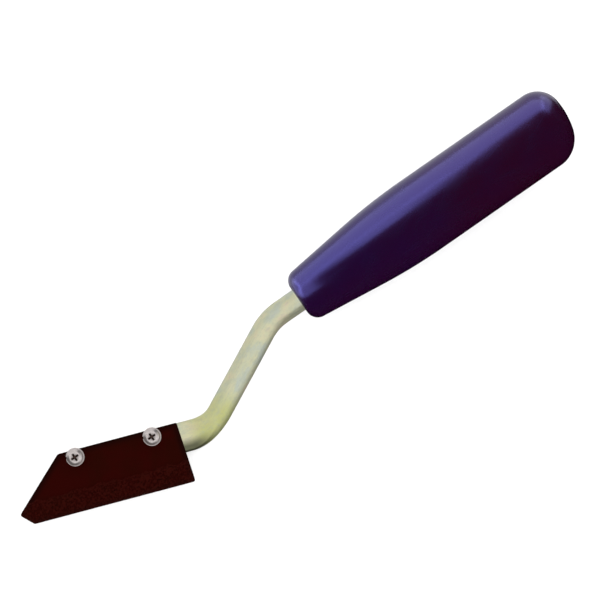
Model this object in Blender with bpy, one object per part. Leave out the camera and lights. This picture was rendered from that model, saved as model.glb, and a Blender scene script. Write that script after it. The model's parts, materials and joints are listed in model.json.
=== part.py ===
"""Grout remover: a plastic handle, a bent steel shank and a grit-edged blade held by two screws.

Metres, +Z up. Every piece is laid out in the tool's own level frame: X is the handle's axis with
the butt at +X and its nose face at 0, the blade's working edge is towards -Y, and the screws face
+Z. The tool is then turned and lowered as a whole, to lie on a bench as it comes to rest there,
with its screws up: on the handle, on the outside of the shank's lower bend and on the tang's end.
"""

import math

import bmesh
import bpy
from mathutils import Matrix, Vector
from mathutils.geometry import intersect_ray_tri

# Fits, and the distance under which a turned solid's points at its axis are one
CLEARANCE = 0.0003
OVERRUN = 0.002
WELD_DISTANCE = 0.0000003

# Handle
HANDLE_LENGTH = 0.1086
BARREL_RADIUS = 0.0132
NOSE_RADIUS = 0.0087
NOSE_ROUNDING = 0.0042
TAPER_LENGTH = 0.0378
TAPER_BLEND_RADIUS = 0.2
CROWN_RADIUS = 0.028
BUTT_ROUNDING = 0.0095
BUTT_SLANT = 0.0034

# Shank
ROD_RADIUS = 0.004
SEAT_DEPTH = 0.06
TAIL_CHAMFER = 0.0008
GROOVE_DEPTH = 0.0006
GROOVE_WIDTH = 0.002
GROOVE_PITCH = 0.006
GROOVE_COUNT = 5
NECK_LENGTH = 0.0074
UPPER_BEND_RADIUS = 0.019
DROP_LENGTH = 0.0302
LOWER_BEND_RADIUS = 0.0164
DROP_ANGLE = math.radians(26.6)
BLADE_ANGLE = math.radians(19.95)
FLATTENING_LENGTH = 0.012

# Tang
TANG_TOP_STEP = 0.0003
TANG_WIDTH = 0.0102
TANG_THICKNESS = 0.0045
TANG_CORNER = 0.0012
TANG_LEAD = 0.0029
TANG_END_WALL = 0.0014
TANG_END_ROUNDING = 0.002

# Blade
BLADE_TOP_LENGTH = 0.0409
BLADE_HEIGHT = 0.0206
BLADE_THICKNESS = 0.0012
REAR_RAKE = 0.0012
TIP_REACH = 0.0174
TIP_DROP = 0.0166
TIP_CHAMFER_RUN = 0.0041
TIP_ROUNDING = 0.0008
TOP_CORNER_ROUNDING = 0.0005

# Carbide grit
GRIT_THICKNESS = 0.0005
GRIT_HEIGHT = 0.009

# Screws and lock washers
SCREW_RADIUS = 0.0015
SCREW_LENGTH = 0.006
SCREW_CHAMFER = 0.0003
HEAD_RADIUS = 0.0028
HEAD_HEIGHT = 0.0024
HEAD_ROUNDING = 0.0016
RECESS_REACH = 0.0014
RECESS_ARM = 0.0008
RECESS_DEPTH = 0.0014
RECESS_FOOT_SHARE = 0.6
WASHER_RADIUS = 0.0031
WASHER_THICKNESS = 0.0008
WASHER_SLIT = 0.0006
SCREW_INSET = 0.0024
REAR_SCREW_PLACE = 0.009
SCREW_SPACING = 0.0264

# Weights per cubic metre, which decide how the tool comes to rest
PLASTIC_DENSITY = 1100
STEEL_DENSITY = 7850

# Facets
HANDLE_SIDES = 48
ROD_CORNER_STEPS = 6
SCREW_SIDES = 24
ARC_STEP = math.radians(9)
BEND_STEP = math.radians(3.4)
BLEND_STEP = math.radians(1.2)
SHARP_ANGLE = math.radians(35)
REST_STEPS = 6

# Colour, roughness and metallic value of each kind of piece
FINISHES = {
    "handle": ((0.045, 0.02, 0.11, 1), 0.3, 0),
    "shank": ((0.6, 0.6, 0.55, 1), 0.3, 1),
    "blade": ((0.03, 0.008, 0.006, 1), 0.55, 0),
    "carbide_grit": ((0.025, 0.007, 0.005, 1), 0.9, 0),
    "blade_screw": ((0.7, 0.68, 0.66, 1), 0.28, 1),
    "lock_washer": ((0.68, 0.67, 0.65, 1), 0.32, 1),
}


def clear_scene():
    for old in list(bpy.data.objects):
        bpy.data.objects.remove(old)


def make_material(name, kind):
    colour, roughness, metallic = FINISHES[kind]
    material = bpy.data.materials.new(name)
    material.use_nodes = True
    shader = material.node_tree.nodes["Principled BSDF"]
    shader.inputs["Base Color"].default_value = colour
    shader.inputs["Roughness"].default_value = roughness
    shader.inputs["Metallic"].default_value = metallic
    return material


def make_empty(name, parent=None):
    empty = bpy.data.objects.new(name, None)
    empty.parent = parent
    bpy.context.collection.objects.link(empty)
    return empty


def make_object(name, bm, parent, kind=None, smooth=False):
    """Turn a bmesh into a named object with outward faces and its own finish."""
    bmesh.ops.recalc_face_normals(bm, faces=bm.faces)
    mesh = bpy.data.meshes.new(name)
    bm.to_mesh(mesh)
    bm.free()
    if kind:
        mesh.materials.append(make_material(name, kind))
    if smooth:
        mesh.shade_smooth()
        mesh.set_sharp_from_angle(angle=SHARP_ANGLE)
    thing = bpy.data.objects.new(name, mesh)
    thing.parent = parent
    bpy.context.collection.objects.link(thing)
    return thing


def make_cutter(name, bm, parent):
    cutter = make_object(name, bm, parent)
    cutter.hide_render = True
    cutter.display_type = "WIRE"
    return cutter


def cut(body, cutter):
    modifier = body.modifiers.new(cutter.name, "BOOLEAN")
    modifier.operation = "DIFFERENCE"
    modifier.solver = "EXACT"
    modifier.object = cutter


def rounded(points, radii, closed, step=ARC_STEP):
    """Replace each corner of a 2D outline by an arc of its own radius."""
    outline = []
    count = len(points)
    for index, (point, radius) in enumerate(zip(points, radii)):
        corner = Vector(point)
        if radius == 0 or (not closed and index in (0, count - 1)):
            outline.append(corner)
            continue
        before = (Vector(points[index - 1]) - corner).normalized()
        after = (Vector(points[(index + 1) % count]) - corner).normalized()
        half = before.angle(after) / 2
        sweep = math.pi - 2 * half
        centre = corner + (before + after).normalized() * radius / math.sin(half)
        start = corner + before * radius / math.tan(half) - centre
        turn = math.copysign(sweep, start.cross(corner - centre))
        arcs = max(2, math.ceil(sweep / step))
        for place in range(arcs + 1):
            outline.append(centre + Matrix.Rotation(turn * place / arcs, 2) @ start)
    return outline


def shifted(points, offsets):
    """Move each edge of a convex, counter-clockwise outline outwards by its own offset."""
    lines = []
    for index, offset in enumerate(offsets):
        start = Vector(points[index])
        along = (Vector(points[(index + 1) % len(points)]) - start).normalized()
        outward = Vector((along.y, -along.x))
        lines.append((start + outward * offset, along))
    corners = []
    for index, (start, along) in enumerate(lines):
        last_start, last_along = lines[index - 1]
        reach = (start - last_start).cross(along) / last_along.cross(along)
        corners.append(last_start + last_along * reach)
    return corners


def prism(outline, low, high):
    """Upright prism on a 2D outline, between two heights."""
    bm = bmesh.new()
    base = bm.faces.new([bm.verts.new((point[0], point[1], low)) for point in outline])
    grown = bmesh.ops.extrude_face_region(bm, geom=[base])
    lifted = [item for item in grown["geom"] if isinstance(item, bmesh.types.BMVert)]
    bmesh.ops.translate(bm, verts=lifted, vec=(0, 0, high - low))
    return bm


def turned(profile, sides):
    """Closed solid of revolution about Z from (radius, height) points that start and end on it."""
    bm = bmesh.new()
    verts = [bm.verts.new((radius, 0, height)) for radius, height in profile]
    edges = [bm.edges.new(pair) for pair in zip(verts, verts[1:])]
    bmesh.ops.spin(
        bm, geom=verts + edges, axis=(0, 0, 1), cent=(0, 0, 0), angle=math.tau, steps=sides, use_merge=True
    )
    bmesh.ops.remove_doubles(bm, verts=bm.verts, dist=WELD_DISTANCE)
    return bm


def smooth_share(value, low, high):
    """Share from 0 at low to 1 at high that starts and ends gently."""
    share = min(max((value - low) / (high - low), 0), 1)
    return share * share * (3 - 2 * share)


def crown_points():
    """Butt of the handle: a fillet off the barrel that runs into a shallow spherical crown."""
    crown_centre = HANDLE_LENGTH - CROWN_RADIUS
    fillet_radius_place = BARREL_RADIUS - BUTT_ROUNDING
    reach = CROWN_RADIUS - BUTT_ROUNDING
    fillet_height = crown_centre + math.sqrt(reach**2 - fillet_radius_place**2)
    meeting = math.asin(fillet_radius_place / reach)
    points = []
    fillet_steps = math.ceil((math.pi / 2 - meeting) / ARC_STEP)
    for place in range(fillet_steps + 1):
        angle = (math.pi / 2 - meeting) * place / fillet_steps
        points.append(
            (
                fillet_radius_place + BUTT_ROUNDING * math.cos(angle),
                fillet_height + BUTT_ROUNDING * math.sin(angle),
            )
        )
    crown_steps = max(2, math.ceil(2 * meeting / ARC_STEP))
    for place in range(1, crown_steps + 1):
        angle = meeting * (1 - place / crown_steps)
        points.append((CROWN_RADIUS * math.sin(angle), crown_centre + CROWN_RADIUS * math.cos(angle)))
    return points


def handle_profile():
    bore_radius = ROD_RADIUS + CLEARANCE
    bore_depth = SEAT_DEPTH + CLEARANCE
    nose = rounded(
        [(bore_radius, 0), (NOSE_RADIUS, 0), (BARREL_RADIUS, TAPER_LENGTH)], [0, NOSE_ROUNDING, 0], False
    )
    butt = crown_points()
    taper = rounded(
        [(NOSE_RADIUS, 0), (BARREL_RADIUS, TAPER_LENGTH), butt[0]],
        [0, TAPER_BLEND_RADIUS, 0],
        False,
        BLEND_STEP,
    )
    bore = [(0, bore_depth), (bore_radius, bore_depth)]
    return bore + nose[:-1] + taper[1:-1] + butt


def slant_butt(bm):
    """Lean the domed end so that one side of it stands further out than the other."""
    start = HANDLE_LENGTH - 3 * BUTT_ROUNDING
    end = HANDLE_LENGTH - BUTT_ROUNDING
    for vert in bm.verts:
        share = smooth_share(vert.co.z, start, end)
        vert.co.z += share * BUTT_SLANT * vert.co.y / (2 * BARREL_RADIUS)


def make_handle(parent):
    bm = turned(handle_profile(), HANDLE_SIDES)
    slant_butt(bm)
    handle = make_object("handle", bm, parent, "handle", smooth=True)
    handle.rotation_euler = (0, math.pi / 2, 0)
    return handle


class RodPath:
    """Centreline of the shank in the level plane, walked from the tail to the end of the tang."""

    def __init__(self, place, heading, radius):
        self.place = Vector(place)
        self.heading = heading
        self.radius = radius
        self.length = 0
        self.stations = []
        self.mark()

    def mark(self):
        self.stations.append((self.length, self.place.copy(), self.heading, self.radius))

    def run(self, distance):
        self.place += distance * Vector((math.cos(self.heading), math.sin(self.heading)))
        self.length += distance
        self.mark()

    def bend(self, radius, angle):
        steps = math.ceil(abs(angle) / BEND_STEP)
        chord = 2 * radius * math.sin(abs(angle) / steps / 2)
        for _ in range(steps):
            self.heading += angle / steps / 2
            self.place += chord * Vector((math.cos(self.heading), math.sin(self.heading)))
            self.heading += angle / steps / 2
            self.length += radius * abs(angle) / steps
            self.mark()


def walk_rod():
    """The whole centreline, and the place and heading where the straight tang begins."""
    path = RodPath((SEAT_DEPTH, 0), math.pi, ROD_RADIUS - TAIL_CHAMFER)
    path.radius = ROD_RADIUS
    path.run(TAIL_CHAMFER)
    for _ in range(GROOVE_COUNT):
        path.run(GROOVE_PITCH - GROOVE_WIDTH)
        path.radius = ROD_RADIUS - GROOVE_DEPTH
        path.run(GROOVE_WIDTH / 4)
        path.run(GROOVE_WIDTH / 2)
        path.radius = ROD_RADIUS
        path.run(GROOVE_WIDTH / 4)
    path.run(SEAT_DEPTH + NECK_LENGTH - path.length)
    path.bend(UPPER_BEND_RADIUS, DROP_ANGLE)
    path.run(DROP_LENGTH)
    path.bend(LOWER_BEND_RADIUS, -DROP_ANGLE - BLADE_ANGLE)
    tang_start = (path.length, path.place.copy(), path.heading)
    tang_end = TANG_LEAD + REAR_SCREW_PLACE + SCREW_SPACING + SCREW_RADIUS + CLEARANCE + TANG_END_WALL
    path.run(tang_end - TANG_END_ROUNDING)
    end_steps = math.ceil(math.pi / 2 / ARC_STEP / 2)
    for place in range(1, end_steps + 1):
        high = math.sin(math.pi / 2 * place / end_steps)
        low = math.sin(math.pi / 2 * (place - 1) / end_steps)
        path.run(TANG_END_ROUNDING * (high - low))
    return path, tang_start


def rod_section(half_width, half_depth, corner):
    """Ring of a rounded rectangle. Three equal sizes give a circle."""
    points = []
    for quarter, (side, face) in enumerate(((1, 1), (-1, 1), (-1, -1), (1, -1))):
        for place in range(ROD_CORNER_STEPS):
            angle = math.pi / 2 * (quarter + (place + 0.5) / ROD_CORNER_STEPS)
            across = side * (half_width - corner) + corner * math.cos(angle)
            up = face * (half_depth - corner) + corner * math.sin(angle)
            points.append((across, up))
    return points


def rod_sizes(length, radius, tang_length, end_length):
    """Half width, half depth and corner radius of the rod at one station."""
    flat = smooth_share(length, tang_length - FLATTENING_LENGTH, tang_length)
    half_width = radius + flat * (TANG_WIDTH / 2 - radius)
    half_depth = radius + flat * (TANG_THICKNESS / 2 - radius)
    corner = radius + flat * (TANG_CORNER - radius)
    into_end = min(max(length - end_length + TANG_END_ROUNDING, 0) / TANG_END_ROUNDING, 1)
    half_width -= TANG_END_ROUNDING * (1 - math.sqrt(1 - into_end**2))
    return half_width, half_depth, corner


def make_shank(parent, path, tang_start):
    bm = bmesh.new()
    last = None
    for length, place, heading, radius in path.stations:
        across = Vector((-math.sin(heading), math.cos(heading)))
        ring = []
        for side, up in rod_section(*rod_sizes(length, radius, tang_start[0], path.length)):
            spot = place + across * side
            ring.append(bm.verts.new((spot.x, spot.y, up)))
        if last is None:
            bm.faces.new(ring)
        else:
            for index in range(len(ring)):
                follow = (index + 1) % len(ring)
                bm.faces.new((last[index], last[follow], ring[follow], ring[index]))
        last = ring
    bm.faces.new(last)
    return make_object("shank", bm, parent, "shank", smooth=True)


def make_blade_frame(parent, tang_start):
    """Empty at the blade's rear top corner: X along the top edge, Y to the working edge."""
    _, place, heading = tang_start
    forward = Vector((math.cos(heading), math.sin(heading)))
    down = Vector((-forward.y, forward.x))
    corner = place + forward * TANG_LEAD - down * (TANG_WIDTH / 2 + TANG_TOP_STEP)
    frame = make_empty("blade_frame", parent)
    frame.location = (corner.x, corner.y, 0)
    frame.rotation_euler = (0, 0, heading)
    return frame


def blade_corners():
    """Outer corners of the finished blade, grit included, counter-clockwise from the rear top."""
    return [
        Vector((0, 0)),
        Vector((BLADE_TOP_LENGTH, 0)),
        Vector((BLADE_TOP_LENGTH + TIP_REACH, TIP_DROP)),
        Vector((BLADE_TOP_LENGTH + TIP_REACH - TIP_CHAMFER_RUN, BLADE_HEIGHT)),
        Vector((-REAR_RAKE, BLADE_HEIGHT)),
    ]


def screw_places():
    return {"rear": REAR_SCREW_PLACE, "front": REAR_SCREW_PLACE + SCREW_SPACING}


def slot_outline(centre):
    """Open slot in the blade's top edge, listed from its rear side to its front side."""
    radius = SCREW_RADIUS + CLEARANCE
    steps = math.ceil(math.pi / ARC_STEP / 2)
    points = [Vector((centre - radius, 0))]
    for place in range(steps + 1):
        angle = math.pi * (1 - place / steps)
        points.append(Vector((centre + radius * math.cos(angle), SCREW_INSET + radius * math.sin(angle))))
    points.append(Vector((centre + radius, 0)))
    return points


def plate_outline():
    """Steel plate: its tip and working edge lie inside the grit coat."""
    inset = -GRIT_THICKNESS - CLEARANCE
    rear_top, *others = shifted(blade_corners(), [0, 0, inset, inset, 0])
    slots = []
    for centre in screw_places().values():
        slots += slot_outline(centre)
    radii = [TOP_CORNER_ROUNDING] + [0] * len(slots)
    radii += [TOP_CORNER_ROUNDING, TIP_ROUNDING, TIP_ROUNDING, TOP_CORNER_ROUNDING]
    return rounded([rear_top] + slots + others, radii, True)


def blade_levels():
    back = TANG_THICKNESS / 2 + CLEARANCE
    return back, back + BLADE_THICKNESS


def make_blade(frame):
    back, front = blade_levels()
    bm = prism(plate_outline(), back, front)
    return make_object("blade", bm, frame, "blade")


def make_grit(frame):
    """Coat round the working edge and the tip, open along its upper side."""
    back, front = blade_levels()
    coat = GRIT_THICKNESS + CLEARANCE
    rear_top, front_top, tip, chamfer_end, rear_bottom = blade_corners()
    band_top = BLADE_HEIGHT - GRIT_HEIGHT
    rear_start = rear_top.lerp(rear_bottom, band_top / BLADE_HEIGHT)
    front_start = front_top.lerp(tip, band_top / TIP_DROP)
    band = rounded(
        [rear_start, front_start, tip, chamfer_end, rear_bottom],
        [0, 0, TIP_ROUNDING, TIP_ROUNDING, 0],
        True,
    )
    coated = prism(band, back - coat, front + coat)
    grit = make_object("carbide_grit", coated, frame, "carbide_grit")
    corners = shifted(
        blade_corners(), [OVERRUN, OVERRUN, -GRIT_THICKNESS, -GRIT_THICKNESS, OVERRUN]
    )
    core = prism(corners, back - CLEARANCE, front + CLEARANCE)
    cut(grit, make_cutter("cutter_grit_core", core, frame))
    return grit


def washer_levels():
    low = blade_levels()[1] + CLEARANCE
    return low, low + WASHER_THICKNESS


def make_washer(name, frame, place):
    """Split ring: a rectangle spun most of the way round."""
    low, high = washer_levels()
    inner = SCREW_RADIUS + CLEARANCE
    bm = bmesh.new()
    corners = [(inner, low), (WASHER_RADIUS, low), (WASHER_RADIUS, high), (inner, high)]
    face = bm.faces.new([bm.verts.new((radius, 0, height - low)) for radius, height in corners])
    slit = 2 * math.asin(WASHER_SLIT / (inner + WASHER_RADIUS))
    bmesh.ops.spin(
        bm, geom=[face], axis=(0, 0, 1), cent=(0, 0, 0), angle=math.tau - slit, steps=SCREW_SIDES
    )
    washer = make_object(name, bm, frame, "lock_washer", smooth=True)
    washer.location = (place, SCREW_INSET, low)
    return washer


def recess_cutter(name, frame):
    """Tapered cross, wide at the top of the head."""
    reach = RECESS_REACH
    arm = RECESS_ARM / 2
    quarter = [(reach, -arm), (reach, arm), (arm, arm)]
    cross = []
    for turn in range(4):
        cross += [Matrix.Rotation(math.pi / 2 * turn, 2) @ Vector(point) for point in quarter]
    bm = prism(cross, HEAD_HEIGHT - RECESS_DEPTH, HEAD_HEIGHT + OVERRUN)
    for vert in bm.verts:
        if vert.co.z < HEAD_HEIGHT:
            vert.co.x *= RECESS_FOOT_SHARE
            vert.co.y *= RECESS_FOOT_SHARE
    return make_cutter(name, bm, frame)


def screw_profile():
    head = rounded(
        [(0, HEAD_HEIGHT), (HEAD_RADIUS, HEAD_HEIGHT), (HEAD_RADIUS, 0)], [0, HEAD_ROUNDING, 0], False
    )
    stem = [
        (SCREW_RADIUS, 0),
        (SCREW_RADIUS, SCREW_CHAMFER - SCREW_LENGTH),
        (SCREW_RADIUS - SCREW_CHAMFER, -SCREW_LENGTH),
        (0, -SCREW_LENGTH),
    ]
    return head + stem


def make_screw(name, frame, place):
    seat = washer_levels()[1] + CLEARANCE
    solid = turned(screw_profile(), SCREW_SIDES)
    screw = make_object(name, solid, frame, "blade_screw", smooth=True)
    screw.location = (place, SCREW_INSET, seat)
    recess = recess_cutter("cutter_" + name, frame)
    recess.location = screw.location
    cut(screw, recess)
    return screw


def drill_tang(shank, frame, side, place):
    """Screw hole through the tang."""
    bm = bmesh.new()
    radius = SCREW_RADIUS + CLEARANCE
    bmesh.ops.create_cone(
        bm,
        cap_ends=True,
        segments=SCREW_SIDES,
        radius1=radius,
        radius2=radius,
        depth=TANG_THICKNESS + 2 * OVERRUN,
    )
    drill = make_cutter("cutter_tang_" + side, bm, frame)
    drill.location = (place, SCREW_INSET, 0)
    cut(shank, drill)


def finished_triangles():
    """Corners of each surface triangle of each piece in the level frame, holes cut, by piece."""
    graph = bpy.context.evaluated_depsgraph_get()
    pieces = {}
    for thing in bpy.data.objects:
        if thing.type != "MESH" or thing.hide_render:
            continue
        finished = thing.evaluated_get(graph)
        mesh = finished.data
        mesh.calc_loop_triangles()
        points = [finished.matrix_world @ vert.co for vert in mesh.vertices]
        pieces[thing.name] = [[points[index] for index in tri.vertices] for tri in mesh.loop_triangles]
    return pieces


def mass_centre(pieces):
    """Centre of mass from the tetrahedra between each surface triangle and the origin."""
    mass = 0
    moment = Vector((0, 0, 0))
    for name, triangles in pieces.items():
        density = PLASTIC_DENSITY if name == "handle" else STEEL_DENSITY
        for a, b, c in triangles:
            weight = density * a.dot(b.cross(c))
            mass += weight
            moment += weight * (a + b + c) / 4
    return moment / mass


def face_below(points, centre):
    """Outward normal of the convex hull's face straight below a point inside it."""
    hull = bmesh.new()
    for point in points:
        hull.verts.new(point)
    bmesh.ops.convex_hull(hull, input=hull.verts)
    hull.normal_update()
    normal = None
    for face in hull.faces:
        corners = [vert.co for vert in face.verts]
        if face.normal.z < 0 and intersect_ray_tri(*corners, Vector((0, 0, -1)), centre):
            normal = face.normal.copy()
    hull.free()
    return normal


def lay_down(tool):
    """Tip the tool onto its hull until its weight is over the face that it lies on."""
    pieces = finished_triangles()
    centre = mass_centre(pieces)
    points = [point for triangles in pieces.values() for triangle in triangles for point in triangle]
    turn = Matrix.Identity(3)
    for _ in range(REST_STEPS):
        normal = face_below([turn @ point for point in points], turn @ centre)
        turn = normal.rotation_difference(Vector((0, 0, -1))).to_matrix() @ turn
    handle_axis = turn @ Vector((1, 0, 0))
    turn = Matrix.Rotation(-math.atan2(handle_axis.y, handle_axis.x), 3, "Z") @ turn
    lying = [turn @ point for point in points]
    low, high = ([limit(point[way] for point in lying) for way in range(3)] for limit in (min, max))
    tool.rotation_euler = turn.to_euler()
    tool.location = (-(low[0] + high[0]) / 2, -(low[1] + high[1]) / 2, -low[2])


def build():
    clear_scene()
    tool = make_empty("tool")
    make_handle(tool)
    path, tang_start = walk_rod()
    shank = make_shank(tool, path, tang_start)
    frame = make_blade_frame(tool, tang_start)
    make_blade(frame)
    make_grit(frame)
    for side, place in screw_places().items():
        drill_tang(shank, frame, side, place)
        make_washer(side + "_lock_washer", frame, place)
        make_screw(side + "_blade_screw", frame, place)
    bpy.context.view_layer.update()
    lay_down(tool)


build()
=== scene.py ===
import json
import math

import bmesh
import bpy
from mathutils import Matrix, Vector, noise


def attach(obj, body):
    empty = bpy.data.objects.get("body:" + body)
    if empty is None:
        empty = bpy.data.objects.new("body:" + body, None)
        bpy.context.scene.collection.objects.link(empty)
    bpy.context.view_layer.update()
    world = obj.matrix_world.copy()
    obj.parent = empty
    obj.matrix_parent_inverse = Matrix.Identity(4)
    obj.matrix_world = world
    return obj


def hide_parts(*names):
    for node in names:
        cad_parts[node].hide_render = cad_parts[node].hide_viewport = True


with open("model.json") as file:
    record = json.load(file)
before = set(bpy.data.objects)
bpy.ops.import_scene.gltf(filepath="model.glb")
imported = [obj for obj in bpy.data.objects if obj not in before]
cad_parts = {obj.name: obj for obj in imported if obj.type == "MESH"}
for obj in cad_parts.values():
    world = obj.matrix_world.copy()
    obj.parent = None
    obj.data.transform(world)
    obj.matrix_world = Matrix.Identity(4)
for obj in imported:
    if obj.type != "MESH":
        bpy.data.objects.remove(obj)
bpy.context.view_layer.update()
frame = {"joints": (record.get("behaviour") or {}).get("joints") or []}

# Grout remover lying on a bench: plastic handle, bent rod, gritted blade, two screws.
# Sizes are metres and angles are degrees. The handle and the rod are built level, with
# the handle along X and its nose at 0, and then laid down the way the frame has them.

joints = {joint["name"]: joint for joint in frame["joints"]}

tolerance = {
    "merge": 0.000001,
    "sliver": 0.000002,
    "cut": 0.0000001,
}


def turned(angle):
    return math.radians(angle)


def gentle(value, low, high):  # 0 at low, 1 at high, easing in and out
    share = min(max((value - low) / (high - low), 0), 1)
    return share * share * (3 - 2 * share)


# mesh helpers

def wireTo(bm, vert, x, y):  # straight run of a profile
    end = bmesh.ops.extrude_vert_indiv(bm, verts=[vert])["verts"][0]
    end.co = (x, y, 0)
    return end


def wireRound(bm, vert, x, y, angle, steps):  # arc of a profile about (x, y)
    made = bmesh.ops.spin(bm, geom=[vert], cent=(x, y, 0), axis=(0, 0, 1), angle=angle, steps=steps)
    return made["geom_last"][0]


def revolve(bm, axis, sides):  # closes a profile whose two ends lie on the axis
    bmesh.ops.spin(
        bm,
        geom=bm.verts[:] + bm.edges[:],
        cent=(0, 0, 0),
        axis=axis,
        angle=math.tau,
        steps=sides,
        use_merge=True,
    )
    bmesh.ops.remove_doubles(bm, verts=bm.verts, dist=tolerance["merge"])


def rotateAll(bm, angle, axis):
    bmesh.ops.rotate(bm, verts=bm.verts, cent=(0, 0, 0), matrix=Matrix.Rotation(angle, 3, axis))


def thicken(bm, height):  # lift a copy of a flat shape and close its sides
    grown = bmesh.ops.extrude_face_region(bm, geom=bm.faces[:])["geom"]
    lifted = [item for item in grown if isinstance(item, bmesh.types.BMVert)]
    bmesh.ops.translate(bm, verts=lifted, vec=(0, 0, height))
    return lifted


def cutOff(bm, spot, outward):  # drop what lies beyond a plane
    bmesh.ops.bisect_plane(
        bm,
        geom=bm.verts[:] + bm.edges[:] + bm.faces[:],
        dist=tolerance["cut"],
        plane_co=spot,
        plane_no=outward,
        clear_outer=True,
    )


def faceOutwards(bm):  # recalculating alone can turn a shape this small inside out
    bmesh.ops.recalc_face_normals(bm, faces=bm.faces)
    if bm.calc_volume(signed=True) < 0:
        bmesh.ops.reverse_faces(bm, faces=bm.faces)


def makeObject(bm, name, smoothTo=35):
    faceOutwards(bm)
    mesh = bpy.data.meshes.new(name)
    bm.to_mesh(mesh)
    bm.free()
    mesh.shade_smooth()
    mesh.set_sharp_from_angle(angle=turned(smoothTo))
    piece = bpy.data.objects.new(name, mesh)
    bpy.context.scene.collection.objects.link(piece)
    return piece


def settle(piece):  # keep what the modifiers made
    graph = bpy.context.evaluated_depsgraph_get()
    mesh = bpy.data.meshes.new_from_object(piece.evaluated_get(graph))
    piece.modifiers.clear()
    piece.data = mesh


def cutAway(piece, cutters, smoothTo=35):  # boolean each cutter out of the piece, then drop it
    for cutter in cutters:
        cut = piece.modifiers.new("cut", "BOOLEAN")
        cut.operation = "DIFFERENCE"
        cut.object = cutter
    settle(piece)
    for cutter in cutters:
        bpy.data.objects.remove(cutter)
    bm = bmesh.new()
    bm.from_mesh(piece.data)
    bmesh.ops.dissolve_degenerate(bm, edges=bm.edges, dist=tolerance["sliver"])
    bm.to_mesh(piece.data)
    bm.free()
    piece.data.set_sharp_from_angle(angle=turned(smoothTo))


def easeEdges(piece, width, segments=2, limit=38):
    bevel = piece.modifiers.new("edges", "BEVEL")
    bevel.width = width
    bevel.segments = segments
    bevel.limit_method = "ANGLE"
    bevel.angle_limit = turned(limit)
    bevel.harden_normals = True
    settle(piece)


def fit(piece, matrix, body, node, material):
    piece.data.transform(matrix)
    piece.data.materials.clear()
    piece.data.materials.append(material)
    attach(piece, body)
    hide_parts(node)
    print("made", piece.name, len(piece.data.polygons), "faces")


# shader helpers

class Signal:  # a socket that can be added to, multiplied and so on
    def __init__(self, tree, socket):
        self.tree = tree
        self.socket = socket

    def maths(self, operation, first, second):
        return addNode(self.tree, "ShaderNodeMath", {"operation": operation}, {0: first, 1: second})

    def __add__(self, other):
        return self.maths("ADD", self, other)

    def __sub__(self, other):
        return self.maths("SUBTRACT", self, other)

    def __rsub__(self, other):
        return self.maths("SUBTRACT", other, self)

    def __mul__(self, other):
        return self.maths("MULTIPLY", self, other)

    def __pow__(self, other):
        return self.maths("POWER", self, other)

    def __abs__(self):
        return addNode(self.tree, "ShaderNodeMath", {"operation": "ABSOLUTE"}, {0: self})

    def least(self, other):
        return self.maths("MINIMUM", self, other)

    def ramp(self, low, high):  # 0 at low to 1 at high, smoothed
        return addNode(
            self.tree,
            "ShaderNodeMapRange",
            {"interpolation_type": "SMOOTHSTEP"},
            {"Value": self, "From Min": low, "From Max": high},
        )

    __radd__ = __add__
    __rmul__ = __mul__


def addNode(tree, kind, settings, inputs, output=0):
    node = tree.nodes.new(kind)
    for name, value in settings.items():
        if name == "stops":
            ramp = node.color_ramp
            while len(ramp.elements) < len(value):
                ramp.elements.new(0.5)
            for stop, (place, colour) in zip(ramp.elements, value):
                stop.position = place
                stop.color = colour
        else:
            setattr(node, name, value)
    for name, value in inputs.items():
        if isinstance(value, Signal):
            tree.links.new(value.socket, node.inputs[name])
        else:
            node.inputs[name].default_value = value
    return Signal(tree, node.outputs[output])


def newFinish(name, **sockets):
    material = bpy.data.materials.new(name)
    material.use_nodes = True
    shader = material.node_tree.nodes["Principled BSDF"]
    for socket, value in sockets.items():
        shader.inputs[socket.replace("_", " ")].default_value = value
    return material, material.node_tree, shader


def feed(tree, shader, **signals):
    for name, signal in signals.items():
        tree.links.new(signal.socket, shader.inputs[name.replace("_", " ")])


def objectPlace(tree, matrix):  # object coordinates measured in a piece's own frame
    place, turn, _ = matrix.decompose()
    here = addNode(tree, "ShaderNodeTexCoord", {}, {}, "Object")
    return addNode(
        tree,
        "ShaderNodeMapping",
        {"vector_type": "TEXTURE"},
        {"Vector": here, "Location": place, "Rotation": turn.to_euler()},
    )


def split(tree, vector):
    return [addNode(tree, "ShaderNodeSeparateXYZ", {}, {0: vector}, output) for output in range(3)]


def noiseOf(tree, vector, size, detail, rough, lean=0.0, stretch=None):  # from 0 to 1
    if stretch:
        vector = addNode(tree, "ShaderNodeVectorMath", {"operation": "MULTIPLY"}, {0: vector, 1: stretch})
    return addNode(
        tree,
        "ShaderNodeTexNoise",
        {},
        {"Vector": vector, "Scale": 1 / size, "Detail": detail, "Roughness": rough, "Distortion": lean},
    )


def noisesOf(tree, vector, patterns):
    return [noiseOf(tree, vector, **pattern) for pattern in patterns.values()]


def blendColours(tree, share, first, second):
    return addNode(
        tree,
        "ShaderNodeMix",
        {"data_type": "RGBA", "clamp_factor": True},
        {"Factor": share, 6: first, 7: second},
        2,
    )


def raised(tree, height, depth, strength=1.0, below=None):
    inputs = {"Height": height, "Distance": depth, "Strength": strength}
    if below:
        inputs["Normal"] = below
    return addNode(tree, "ShaderNodeBump", {}, inputs)


# rod: one bar, bent twice and pressed flat at the end

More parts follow.
